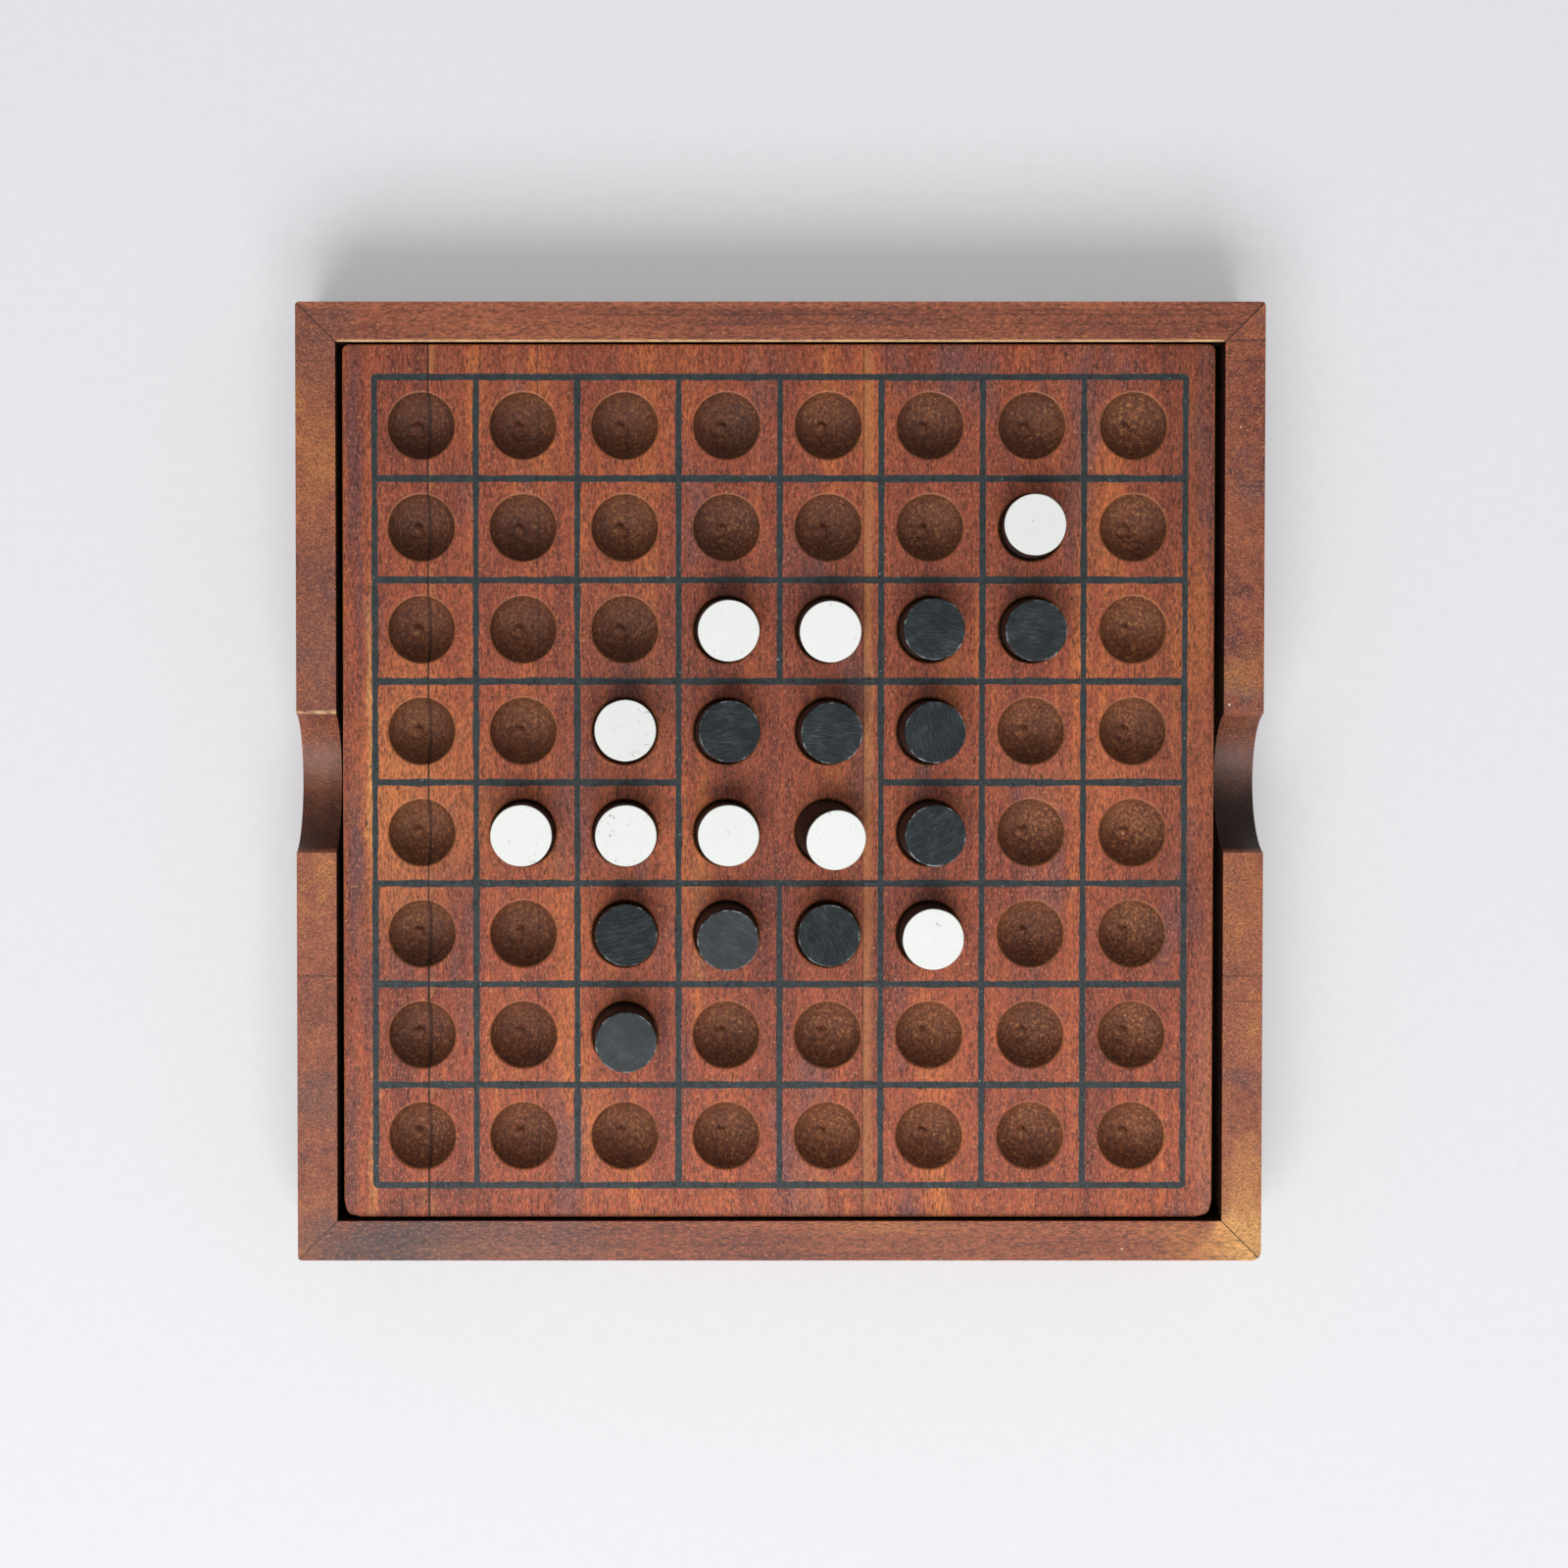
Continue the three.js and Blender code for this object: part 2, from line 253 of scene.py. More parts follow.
def grid_lines(shader, place):
    """Mask of the painted grid, which leaves out the lines inside the four middle squares."""
    x, y, _ = shader.axes(shader.vector("SUBTRACT", place, (line_middle.x, line_middle.y, 0)))
    bleed = shader.noise(place, (2600, 500, 10), detail=2, roughness=0.7)
    ragged = shader.scale(bleed, 0.3, 0.7, -0.09 * MM, 0.09 * MM)
    wave = shader.scale(shader.noise(place, (150, 150, 10), detail=2), 0.3, 0.7, -0.14 * MM, 0.14 * MM)
    half_grid = LINE_PITCH * SQUARES_PER_SIDE / 2

    def lines(across, other, half_width, edge):
        """The lines at each multiple of the pitch along one axis."""
        distance = shader.math("PINGPONG", across, LINE_PITCH / 2)
        from_line = shader.math("ADD", distance, edge)
        painted = shader.fade(from_line, half_width + 0.1 * MM, half_width - 0.1 * MM)
        from_middle, along_line = shader.math("ABSOLUTE", across), shader.math("ABSOLUTE", other)
        ends = shader.fade(along_line, half_grid + 0.6 * MM, half_grid + 0.45 * MM)
        outermost = shader.fade(from_middle, half_grid + 1.2 * MM, half_grid + 1.1 * MM)
        centre_line = shader.fade(from_middle, 3 * MM, 2.9 * MM)
        in_block = shader.fade(along_line, LINE_PITCH + 0.1 * MM, LINE_PITCH - 0.1 * MM)
        drawn = shader.math("SUBTRACT", 1.0, shader.math("MULTIPLY", centre_line, in_block))
        whole_line = shader.math("MULTIPLY", painted, ends)
        return shader.math("MULTIPLY", whole_line, shader.math("MULTIPLY", outermost, drawn))

    upright = lines(x, y, 0.6 * MM, shader.math("MULTIPLY_ADD", ragged, 0.35, wave))
    level = lines(y, x, 0.67 * MM, shader.math("ADD", ragged, wave))
    squares = []
    for axis in (x, y):
        past_corner = shader.math("SUBTRACT", shader.math("ABSOLUTE", axis), half_grid - 0.6 * MM)
        past_corner = shader.math("MAXIMUM", past_corner, 0.0)
        squares.append(shader.math("MULTIPLY", past_corner, past_corner))
    rounded = shader.fade(shader.math("SQRT", shader.math("ADD", *squares)), 1.3 * MM, 1.2 * MM)
    return shader.math("MULTIPLY", shader.math("MAXIMUM", upright, level), rounded)


# Middle and radii in millimetres, strength and colour of each patch on the board
BOARD_SPOTS = (
    ((-75, -4), (7, 24), 0.6, "#c0723a"),
    ((-80.3, 10), (0.8, 26), 0.7, "#cf9050"),
    ((-80.0, -70), (0.8, 16), 0.4, "#cf9050"),
    ((-62, -6), (6, 14), 0.35, "#b96a31"),
    ((17.6, 20), (0.5, 30), 0.35, "#c47f45"),
    ((19.6, -10), (0.4, 30), 0.25, "#c47a3c"),
    ((14.6, 10), (1.2, 60), 0.35, "#5c2a20"),
    ((-26.5, 52), (2.2, 40), 0.3, "#b0602c"),
    ((-83.8, 66), (1.5, 20), 0.7, "#5a3538"),
    ((-82.4, 40), (0.6, 18), 0.6, "#5a3538"),
    ((-83.2, -14), (1.3, 14), 0.75, "#54383c"),
    ((-84.2, -72), (1.5, 14), 0.6, "#4c2f30"),
    ((-30, 22), (16, 22), 0.35, "#70382a"),
    ((52, 44), (16, 12), 0.3, "#74372a"),
    ((58, 2), (14, 6), 0.35, "#b4643a"),
    ((84.5, -60), (3, 30), 0.5, "#8a5243"),
    ((-69, -83), (8, 2.0), 0.5, "#3f2320"),
    ((22, -84), (8, 1.6), 0.4, "#4a2a26"),
)
# Growth lines: distance along X, half width and strength
GROWTH_LINES = ((-47.6, 0.16, 0.4), (-30.0, 0.14, 0.35), (-12.4, 0.12, 0.2), (52.0, 0.12, 0.2))


def within_cups(shader, x, y, z):
    """Mask of the squares down to the bottom of their cups, without the board's sides and underside."""
    reach = SQUARE * SQUARES_PER_SIDE / 2
    across = [
        shader.math("ABSOLUTE", shader.math("SUBTRACT", axis, middle))
        for axis, middle in ((x, grid_middle.x), (y, grid_middle.y))
    ]
    in_squares = shader.fade(shader.math("MAXIMUM", *across), reach + 1 * MM, reach)
    lowest = board_top - CUP_DEPTH - 1 * MM
    return shader.math("MULTIPLY", in_squares, shader.fade(z, lowest, lowest + 0.4 * MM))


def board_wood():
    """The board: stained wood on top, dark rough cups, painted grid, glue and growth lines, with painted
    light and shade: lighter towards the front, darker sides and underside, a highlight on the arrises just
    below the top face and cups paler to the front right.
    """
    shader = Shader("board_wood")
    place = shader.position()
    x, y, z = shader.axes(place)
    color, relief = stained_wood(shader, place, "y", BOARD_TONES, BOARD_SPOTS)
    # Painted light: the board's wood is painted lighter towards the front, where the light comes from
    color = shader.times(color, shader.scale(y, board_high.y, board_low.y, 0.9, 1.13))
    dark_side = shader.math("MULTIPLY", shader.fade(x, 66 * MM, 78 * MM), shader.fade(y, -50 * MM, -10 * MM))
    color = shader.times(color, shader.math("MULTIPLY_ADD", dark_side, -0.22, 1.0))

    in_cups = within_cups(shader, x, y, z)
    below_face = shader.fade(z, board_top - 0.25 * MM, board_top - 0.55 * MM)
    hollow = shader.math("MULTIPLY", below_face, in_cups)
    # Painted shade: the board's sides and underside, down in the dark gap inside the tray, are painted darker
    sides = shader.math("MULTIPLY", shader.fade(z, board_top - 0.5 * MM, board_top - 1.5 * MM),
                        shader.math("SUBTRACT", 1.0, in_cups))
    crumbs = shader.noise(place, (1500, 1200, 1500), detail=5, roughness=0.8)
    cup_color = shader.ramp(crumbs, CUP_TONES)
    cup_tone = shader.noise(place, (95, 55, 95), detail=2, roughness=0.6, offset=(9, 2, 6))
    cup_color = shader.times(cup_color, shader.scale(cup_tone, 0.33, 0.67, 0.75, 1.35))
    # Painted light: the cups are painted paler towards the front right, where more light reaches them
    painted_cup_light = shader.scale(shader.math("SUBTRACT", x, y), -120 * MM, 120 * MM, 0.85, 1.75)
    cup_color = shader.times(cup_color, painted_cup_light)
    # Painted shade on the board's sides and underside
    color = shader.times(color, shader.math("MULTIPLY_ADD", sides, -0.45, 1.0))
    color = shader.mix(hollow, color, shader.mix(0.2, cup_color, color))
    # Painted highlight: the arrises just below the board's top face, round each cup's rim and along the
    # board's edge, are painted lighter
    rim_highlight = shader.math("MULTIPLY", shader.fade(z, board_top - 0.02 * MM, board_top - 0.1 * MM),
                      shader.fade(z, board_top - 0.45 * MM, board_top - 0.3 * MM))
    color = shader.mix(shader.math("MULTIPLY", rim_highlight, 0.45), color, rgb("#b97a45"))

    on_top = shader.fade(z, board_top - 0.3 * MM, board_top - 0.1 * MM)
    lines = shader.math("MULTIPLY", grid_lines(shader, place), on_top)
    paint_tone = shader.noise(place, (700, 700, 10), detail=3)
    paint = shader.ramp(paint_tone, ((0.35, "#192124"), (0.65, "#293437")))
    specks = shader.fade(shader.noise(place, (1300, 1300, 10), detail=1), 0.74, 0.79)
    paint = shader.mix(shader.math("MULTIPLY", specks, 0.6), paint, rgb("#9aa3a6"))
    color = shader.mix(lines, color, paint)

    drift = shader.scale(shader.noise(place, (4, 30, 4), detail=1), 0.3, 0.7, -0.08 * MM, 0.08 * MM)
    wider = shader.math("MULTIPLY_ADD", hollow, -0.2 * MM, drift)
    glue_lines = ((seams[0] / MM, 0.17, 0.9), (seams[1] / MM, 0.11, 0.6))
    dark = dark_lines(shader, x, glue_lines + GROWTH_LINES, wider)
    in_paint = shader.math("MULTIPLY", lines, 0.6)
    fading = shader.math("MAXIMUM", in_paint, shader.math("MULTIPLY", hollow, 0.35))
    faded = shader.math("MULTIPLY", dark, shader.math("SUBTRACT", 1.0, fading))
    color = shader.mix(faded, color, rgb("#22120e"))

    height = shader.mix(hollow, relief, shader.math("MULTIPLY", crumbs, 3.2))
    normal = shader.bump(height, 0.16 * MM, strength=0.8)
    return shader.finish(color, shader.scale(relief, 0.2, 0.8, 0.42, 0.62), normal, specular=0.5)


# Middle and radii in millimetres, strength and colour of each patch on the rails
RAIL_SPOTS = (
    ((-91, 84), (6, 10), 0.5, "#6d4238"),
    ((-91, 63), (4, 6), 0.3, "#ad7136"),
    ((-91, 40), (5, 12), 0.35, "#7a4535"),
    ((91.5, -90), (6, 6), 0.95, "#d6a15e"),
    ((84, -91), (10, 4), 0.45, "#bd7a40"),
    ((92, -80), (4, 7), 0.6, "#c08046"),
    ((-78, -91), (15, 7), 0.85, "#483b3d"),
    ((-50, -91), (16, 6), 0.5, "#5f4543"),
    ((-91, -62), (5, 4), 0.5, "#5a3d3a"),
    ((91.5, 18.5), (4, 2.5), 0.6, "#5d4644"),
    ((90, 22), (5, 4), 0.35, "#b5783f"),
    ((90, -24), (5, 12), 0.3, "#a86433"),
    ((-91, 25), (5, 20), 0.3, "#6b4238"),
)
# Chips in the stain on the rails: middle and radius in millimetres
PALE_SPECKS = (((90.2, 69.8), 0.16), ((67.5, -92.0), 0.16), ((88.2, 15.4), 0.2))
# Saw marks across the side rails: distance along Y, half width and strength
SIDE_RAIL_MARKS = (
    (86.7, 0.16, 0.5),
    (82.7, 0.14, 0.45),
    (73.6, 0.14, 0.4),
    (58.2, 0.12, 0.35),
    (-43.0, 0.12, 0.4),
    (-38.0, 0.16, 0.5),
)
# Dark streaks along the back rail: distance along Y, half width and strength
BACK_RAIL_STREAKS = ((92.6, 0.22, 0.3), (91.8, 0.14, 0.4), (89.9, 0.16, 0.25))


def rail_wood(name, grain):
    """A rail's stained wood: marks near the top, a dark mitre, painted shade on the hidden walls and in the
    notches, and worn edges.
    """
    shader = Shader(name)
    place = shader.position()
    x, y, z = shader.axes(place)
    color, relief = stained_wood(shader, place, grain, RAIL_TONES, RAIL_SPOTS, pore_strength=0.3)
    near_top = shader.fade(z, tray_high.z - 1.0 * MM, tray_high.z - 0.5 * MM)
    for (speck_x, speck_y), radius in PALE_SPECKS:
        speck = shader.ellipse(place, (speck_x * MM, speck_y * MM), (radius * MM, radius * MM))
        color = shader.mix(shader.math("MULTIPLY", speck, near_top), color, rgb("#e4dcd0"))

    drift = shader.scale(shader.noise(place, (60, 60, 60), detail=1), 0.3, 0.7, -0.06 * MM, 0.06 * MM)
    if grain != "x":
        marks = dark_lines(shader, y, SIDE_RAIL_MARKS, drift)
        color = shader.mix(shader.math("MULTIPLY", marks, near_top), color, rgb("#2a1713"))
    else:
        wander = shader.scale(shader.noise(place, (25, 60, 60), detail=2), 0.3, 0.7, -0.2 * MM, 0.3 * MM)
        streaks = dark_lines(shader, y, BACK_RAIL_STREAKS, wander)
        color = shader.mix(shader.math("MULTIPLY", streaks, near_top), color, rgb("#3a1d17"))

    to_outer_x = shader.math("SUBTRACT", tray_high.x, shader.math("ABSOLUTE", x))
    to_outer_y = shader.math("SUBTRACT", tray_high.y, shader.math("ABSOLUTE", y))
    from_mitre = shader.math("ABSOLUTE", shader.math("SUBTRACT", to_outer_x, to_outer_y))
    mitre = shader.fade(shader.math("ADD", from_mitre, drift), 0.26 * MM, 0.1 * MM)
    color = shader.mix(shader.math("MULTIPLY", mitre, 0.85), color, rgb("#1f110d"))

    # Painted shade on the walls inside the tray and in the finger notches
    color = shader.times(color, shader.math("SUBTRACT", 1.0, painted_recess_shade(shader, place)))
    color = shader.mix(worn_edges(shader, place, near_top), color, rgb("#dcb486"))
    normal = shader.bump(relief, 0.12 * MM, strength=0.5)
    return shader.finish(color, shader.scale(relief, 0.2, 0.8, 0.42, 0.62), normal, specular=0.5)


def painted_recess_shade(shader, place):
    """How much painted shade darkens the wood where little light reaches: on the walls inside the tray and in
    the notches, most towards the front of each notch and in the right notch.
    """
    x, y, z = shader.axes(place)
    inner_x, inner_y = tray_high.x - rail_width, tray_high.y - rail_width
    inside_x = shader.fade(shader.math("ABSOLUTE", x), inner_x + 0.25 * MM, inner_x)
    inside_y = shader.fade(shader.math("ABSOLUTE", y), inner_y + 0.2 * MM, inner_y)
    below_top = shader.fade(z, tray_high.z - 0.2 * MM, tray_high.z - 0.9 * MM)
    walls = shader.math("MULTIPLY", shader.math("MULTIPLY", inside_x, inside_y), below_top)
    in_notch = shader.fade(shader.math("ABSOLUTE", y), NOTCH_HALF_LENGTH, NOTCH_HALF_LENGTH - 1 * MM)
    notch_floor = tray_high.z - NOTCH_DEPTH
    above_floor = shader.fade(z, notch_floor - 1 * MM, notch_floor - 0.1 * MM)
    below_edge = shader.fade(z, tray_high.z - 0.4 * MM, tray_high.z - 2 * MM)
    low_in_notch = shader.math("MULTIPLY", shader.math("MULTIPLY", in_notch, below_edge), above_floor)
    base = shader.scale(x, tray_low.x, tray_high.x, 0.1, 0.45)
    toward_front = shader.fade(y, NOTCH_HALF_LENGTH, -NOTCH_HALF_LENGTH)
    notch = shader.math("MULTIPLY", low_in_notch, shader.math("MULTIPLY_ADD", toward_front, 0.62, base))
    darkest = shader.math("MAXIMUM", shader.math("MULTIPLY", walls, 0.88), notch)
    return shader.math("MINIMUM", darkest, 0.9)


def worn_edges(shader, place, near_top):
    """Mask of bare wood: the back rail's inner edge and the back edge of the left finger notch."""
    x, y, z = shader.axes(place)
    wear = shader.noise(place, (500, 700, 500), detail=3, roughness=0.6, offset=(5, 1, 2))
    from_inner = shader.math("ABSOLUTE", shader.math("SUBTRACT", y, tray_high.y - rail_width))
    inner_x = tray_high.x - rail_width
    between_mitres = shader.fade(shader.math("ABSOLUTE", x), inner_x, inner_x - 1 * MM)
    inner = shader.math("MULTIPLY", shader.fade(from_inner, 0.5 * MM, 0.25 * MM), between_mitres)
    inner = shader.math("MULTIPLY", inner, shader.scale(wear, 0.35, 0.6, 0.5, 1.0))
    from_notch = shader.math("ABSOLUTE", shader.math("SUBTRACT", y, NOTCH_HALF_LENGTH + 0.2 * MM))
    widening = shader.scale(x, tray_low.x, tray_low.x + rail_width, 0.25 * MM, 0.8 * MM)
    notch = shader.fade(from_notch, widening, 0.1 * MM)
    left_side = shader.fade(x, -50 * MM, -60 * MM)
    patchy = shader.scale(wear, 0.38, 0.6, 0.0, 1.0)
    notch = shader.math("MULTIPLY", shader.math("MULTIPLY", notch, left_side), patchy)
    return shader.math("MULTIPLY", shader.math("MAXIMUM", inner, notch), near_top)


def bare_plywood():
    shader = Shader("bare_plywood")
    place = shader.position()
    color, relief = stained_wood(shader, place, "x", PLYWOOD_TONES, pore_strength=0.3, smear_strength=0.08)
    normal = shader.bump(relief, 0.1 * MM, strength=0.4)
    return shader.finish(color, 0.8, normal)


def disc_paint(name, tones, streaks, roughness):
    """Brushed paint on a disc, in the disc's own coordinates."""
    shader = Shader(name)
    place = shader.attribute("local")
    strokes = shader.noise(place, streaks, detail=4, roughness=0.7)
    blotches = shader.noise(place, (250, 250, 250), detail=3)
    tone = shader.math("MULTIPLY_ADD", strokes, 0.7, shader.math("MULTIPLY", blotches, 0.3))
    color = shader.ramp(tone, tones)
    normal = shader.bump(strokes, 0.06 * MM, strength=0.5)
    return shader.finish(color, shader.scale(strokes, 0.3, 0.7, roughness - 0.08, roughness + 0.08), normal)


# ---------------------------------------------------------------- building meshes


CUT_TOLERANCE = 0.5e-6


def cut_across(mesh, point, normal, clear_outer=False):
    """Cuts a bmesh along a plane and gives back the points and edges on it. What is beyond it can go."""
    everything = mesh.verts[:] + mesh.edges[:] + mesh.faces[:]
    return bmesh.ops.bisect_plane(
        mesh, geom=everything, dist=CUT_TOLERANCE, plane_co=point, plane_no=normal, clear_outer=clear_outer
    )["geom_cut"]


def new_piece(name, shape, coats):
    """An object from a bmesh, which it uses up, with its materials in order."""
    mesh = bpy.data.meshes.new(name)
    shape.to_mesh(mesh)
    shape.free()
    for material in coats:
        mesh.materials.append(material)
    piece = bpy.data.objects.new(name, mesh)
    bpy.context.scene.collection.objects.link(piece)
    return piece


def hold(piece, body, slot, *nodes):
    """Fixes a piece to a body, in place of CAD nodes."""
    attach(piece, body)
    if nodes:
        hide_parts(*nodes)
    return piece


# ---------------------------------------------------------------- board

SIDE_STEPS = 9
CELL_STEPS = 4 * SIDE_STEPS
WALL_RINGS = 22
WALL_START = math.radians(72)
ARRIS = 0.4 * MM
SEAM_HALF_WIDTH = 0.16 * MM
SEAM_DEPTH = 0.14 * MM
RIM_ARRIS = 0.3 * MM
DISC_REST_DEPTH = 2.1 * MM
CUP_ROUGHNESS = 0.14 * MM
# Bumps per metre in the rough part of the cups
COARSE_BUMPS = 500
FINE_BUMPS = 1300
NUB_OFFSET = Vector((-1.1 * MM, -0.1 * MM))
NUB_RADIUS = 1.3 * MM
NUB_HEIGHT = 0.85 * MM
GROOVE_RADIUS = 2.3 * MM
GROOVE_DEPTH = 0.3 * MM
ball_radius = (CUP_RIM_RADIUS**2 + CUP_DEPTH**2) / (2 * CUP_DEPTH)


def cell_outline(left, front, right, back):
    """Points round a cell's edge, closer near its corners, anticlockwise from the front left."""
    points = []
    corners = [(left, front), (right, front), (right, back), (left, back)]
    for start, end in zip(corners, corners[1:] + corners[:1]):
        for step in range(SIDE_STEPS):
            share = (1 - math.cos(math.pi * step / SIDE_STEPS)) / 2
            points.append(Vector(start).lerp(Vector(end), share))
    return points


def cup_rings():
    """(radius, depth) of each ring, from the flat face round the cup down to the ring next to its middle."""
    rings = [(CUP_RIM_RADIUS + RIM_ARRIS, 0.0)]
    for turn in (30, 60):
        angle = math.radians(turn)
        rings.append((CUP_RIM_RADIUS + RIM_ARRIS * (1 - math.sin(angle)), RIM_ARRIS * (1 - math.cos(angle))))
    for step in range(WALL_RINGS):
        angle = WALL_START * (1 - step / WALL_RINGS)
        depth = ball_radius * math.cos(angle) - (ball_radius - CUP_DEPTH)
        rings.append((ball_radius * math.sin(angle), depth))
    return rings


def nub_height(offset):
    """Height of the small pip, ringed by a groove, that the cutter left near the middle of each cup."""
    distance = (offset - NUB_OFFSET).length
    if distance < NUB_RADIUS:
        dome = math.cos(distance / NUB_RADIUS * math.pi / 2)
        return (NUB_HEIGHT + GROOVE_DEPTH) * dome - GROOVE_DEPTH
    if distance < GROOVE_RADIUS:
        return -GROOVE_DEPTH * (GROOVE_RADIUS - distance) / (GROOVE_RADIUS - NUB_RADIUS)
    return 0.0


def roughen(point, amount):
    """A small unevenness, the same on each run."""
    coarse, fine = noise.noise(point * COARSE_BUMPS), noise.noise(point * FINE_BUMPS)
    return (coarse + 0.6 * fine) * amount


def add_cell(mesh, column, row, edges):
    """One square of the board's face with its cup."""
    middle = square_middle(column, row)
    outline = cell_outline(*edges)
    loops = [[mesh.verts.new((p.x, p.y, board_top)) for p in outline]]
    first_angle = math.radians(-135)
    for radius, depth in cup_rings():
        loop = []
        for step in range(CELL_STEPS):
            angle = first_angle + 2 * math.pi * step / CELL_STEPS
            offset = Vector((math.cos(angle), math.sin(angle))) * radius
            place = Vector((middle.x + offset.x, middle.y + offset.y, board_top - depth))
            below_disc = min(max((depth - DISC_REST_DEPTH) / MM, 0), 1)
            place.z += nub_height(offset) + roughen(place, CUP_ROUGHNESS) * below_disc
            loop.append(mesh.verts.new(place))
        loops.append(loop)
    for outer, inner in zip(loops, loops[1:]):
        for step in range(CELL_STEPS):
            after = (step + 1) % CELL_STEPS
            face = mesh.faces.new((outer[step], outer[after], inner[after], inner[step]))
            face.smooth = outer is not loops[0]
    bottom = mesh.verts.new((middle.x, middle.y, board_top - CUP_DEPTH + nub_height(Vector((0, 0)))))
    for step in range(CELL_STEPS):
        mesh.faces.new((loops[-1][step], loops[-1][(step + 1) % CELL_STEPS], bottom)).smooth = True


def board_face():
    """The board's whole upper face as an open mesh, out to the start of its rounded arris."""
    mesh = bmesh.new()
    last = SQUARES_PER_SIDE - 1
    half = SQUARE / 2
    for row in range(SQUARES_PER_SIDE):
        for column in range(SQUARES_PER_SIDE):
            middle = square_middle(column, row)
            left = board_low.x + ARRIS if column == 0 else middle.x - half
            right = board_high.x - ARRIS if column == last else middle.x + half
            front = board_low.y + ARRIS if row == last else middle.y - half
            back = board_high.y - ARRIS if row == 0 else middle.y + half
            add_cell(mesh, column, row, (left, front, right, back))
    bmesh.ops.remove_doubles(mesh, verts=mesh.verts, dist=0.01 * MM)
    return mesh


def corner_core(point):
    """The point inside the board that a point near its edge is measured from, and the corner's radius."""
    radius = FRONT_CORNER_RADIUS if point.y < grid_middle.y else BACK_CORNER_RADIUS
    x = min(max(point.x, board_low.x + radius), board_high.x - radius)
    y = min(max(point.y, board_low.y + radius), board_high.y - radius)
    return Vector((x, y)), radius


def to_outline(point, inset):
    """Moves a point on the square edge of the board out to its rounded outline, less an inset."""
    core, radius = corner_core(point)
    outward = point - core
    if outward.length < 1e-9:
        return point
    return core + outward.normalized() * (radius - inset)


def board_strip(name, left, right):
    """One strip of the board: its share of the face, closed by the sides, the seams and the underside."""
    mesh = board_face()
    for vert in [v for v in mesh.verts if v.is_boundary]:
        vert.co.x, vert.co.y = to_outline(vert.co.xy, ARRIS)
    for seam in seams:
        for offset in (-SEAM_HALF_WIDTH, 0.0, SEAM_HALF_WIDTH):
            cut = cut_across(mesh, (seam + offset, 0, 0), (1, 0, 0))
            if offset != 0.0:
                continue
            for vert in cut:
                if isinstance(vert, bmesh.types.BMVert) and vert.co.z > board_top - 0.3 * MM:
                    vert.co.z -= SEAM_DEPTH
    for side, outward in ((left, -1), (right, 1)):
        if side is not None:
            cut_across(mesh, (side, 0, 0), (outward, 0, 0), clear_outer=True)
    close_strip(mesh, left, right)
    return new_piece(name, mesh, [materials["board_wood"]])


def extrude_edge(mesh, edges):
    """Grows new faces from edges and gives back their new points, outer edges and faces."""
    made = bmesh.ops.extrude_edge_only(mesh, edges=edges)["geom"]
    verts = [item for item in made if isinstance(item, bmesh.types.BMVert)]
    new_edges = [item for item in made if isinstance(item, bmesh.types.BMEdge)]
    faces = [item for item in made if isinstance(item, bmesh.types.BMFace)]
    return verts, [e for e in new_edges if e.is_boundary], faces


def close_strip(mesh, left, right):
    """Rounds the strip's outer arris, then runs its edge down to the underside and closes that."""
    on_seam = {side for side in (left, right) if side is not None}

    def at_seam(vert):
        return any(abs(vert.co.x - side) < 1e-6 for side in on_seam)

    edges = [edge for edge in mesh.edges if edge.is_boundary]
    for turn in (30, 60, 90):
        angle = math.radians(turn)
        verts, edges, faces = extrude_edge(mesh, edges)
        for vert in verts:
            if vert.co.z < board_top - 2 * MM:
                continue
            inset = ARRIS * (1 - math.sin(angle))
            core, radius = corner_core(vert.co.xy)
            outward = vert.co.xy - core
            if outward.length > radius * 0.5 and not (at_seam(vert) and abs(outward.y) < 1e-9):
                place = core + outward.normalized() * (radius - inset)
                vert.co.x = vert.co.x if at_seam(vert) else place.x
                vert.co.y = place.y
                vert.co.z = board_top - ARRIS * (1 - math.cos(angle))
        for face in faces:
            face.smooth = True
    verts, _, _ = extrude_edge(mesh, edges)
    for vert in verts:
        vert.co.z = board_low.z
    bmesh.ops.remove_doubles(mesh, verts=mesh.verts, dist=0.002 * MM)
    bottom_edges = [edge for edge in mesh.edges if edge.is_boundary]
    bmesh.ops.holes_fill(mesh, edges=bottom_edges)
    bmesh.ops.recalc_face_normals(mesh, faces=mesh.faces)


# ---------------------------------------------------------------- rails

RAIL_ARRIS = 0.35 * MM
NOTCH_ARRIS = 0.8 * MM
MITRE_ARRIS = 0.1 * MM
CORNER_RADIUS = 0.8 * MM
WORN_CORNER_RADIUS = 1.9 * MM


def round_corners(mesh):
    """Sands the tray's upright outer corners round. The front right one is worn more than the rest."""
    for side_x in (-1, 1):
        for side_y in (-1, 1):
            radius = WORN_CORNER_RADIUS if (side_x, side_y) == (1, -1) else CORNER_RADIUS
            core = Vector((side_x * (tray_high.x - radius), side_y * (tray_high.y - radius), 0))
            for turn in (15, 30, 45, 60, 75):
                angle = math.radians(turn)
                outward = Vector((side_x * math.cos(angle), side_y * math.sin(angle), 0))
                cut = cut_across(mesh, core + outward * radius, outward, clear_outer=True)
                edges = [item for item in cut if isinstance(item, bmesh.types.BMEdge)]
                if edges:
                    bmesh.ops.holes_fill(mesh, edges=edges)


